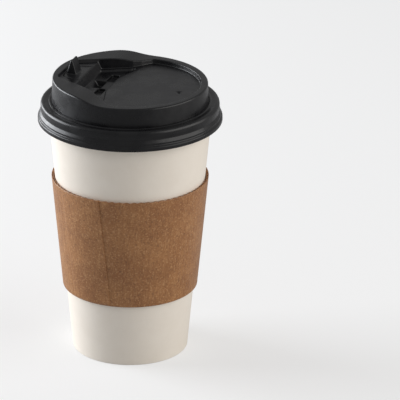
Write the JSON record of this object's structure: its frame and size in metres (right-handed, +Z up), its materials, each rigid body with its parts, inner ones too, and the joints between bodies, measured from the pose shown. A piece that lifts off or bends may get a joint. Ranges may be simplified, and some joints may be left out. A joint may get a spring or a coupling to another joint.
{
  "type": "paper coffee cup",
  "caption": "Tapered paper hot-drink cup with a rolled rim, a corrugated kraft sleeve and a black press-on lid with a fold-back drinking tab.",
  "frame": {"origin": "centre of the cup's base, on the surface that it stands on", "axes": "+Z up along the cup's axis; the lid's drinking side points along azimuth 160 degrees from +X towards +Y; the picture looks along +Y"},
  "size_m": [0.0942, 0.0942, 0.1535],
  "materials": {
    "white_paper": "coated white cup board, matt with a faint sheen",
    "kraft_board": "uncoated brown kraft, fibrous and matt",
    "black_sheet": "thermoformed black plastic sheet, satin"
  },
  "bodies": {
    "cup": {"cup_wall": "white_paper", "cup_bottom": "white_paper", "sleeve": "kraft_board"},
    "lid": {"lid": "black_sheet"},
    "tab": {"lid_tab": "black_sheet"}
  },
  "joints": [
    {"name": "lid_lift", "type": "slide", "parent": "cup", "child": "lid", "axis": [0, 0, 1], "range_m": [0, 0.04]},
    {"name": "tab_fold", "type": "hinge", "parent": "lid", "child": "tab", "pos_m": [-0.02255, 0.00821, 0.14613], "axis": [0.342, 0.9397, 0], "range_deg": [0, 180]}
  ]
}
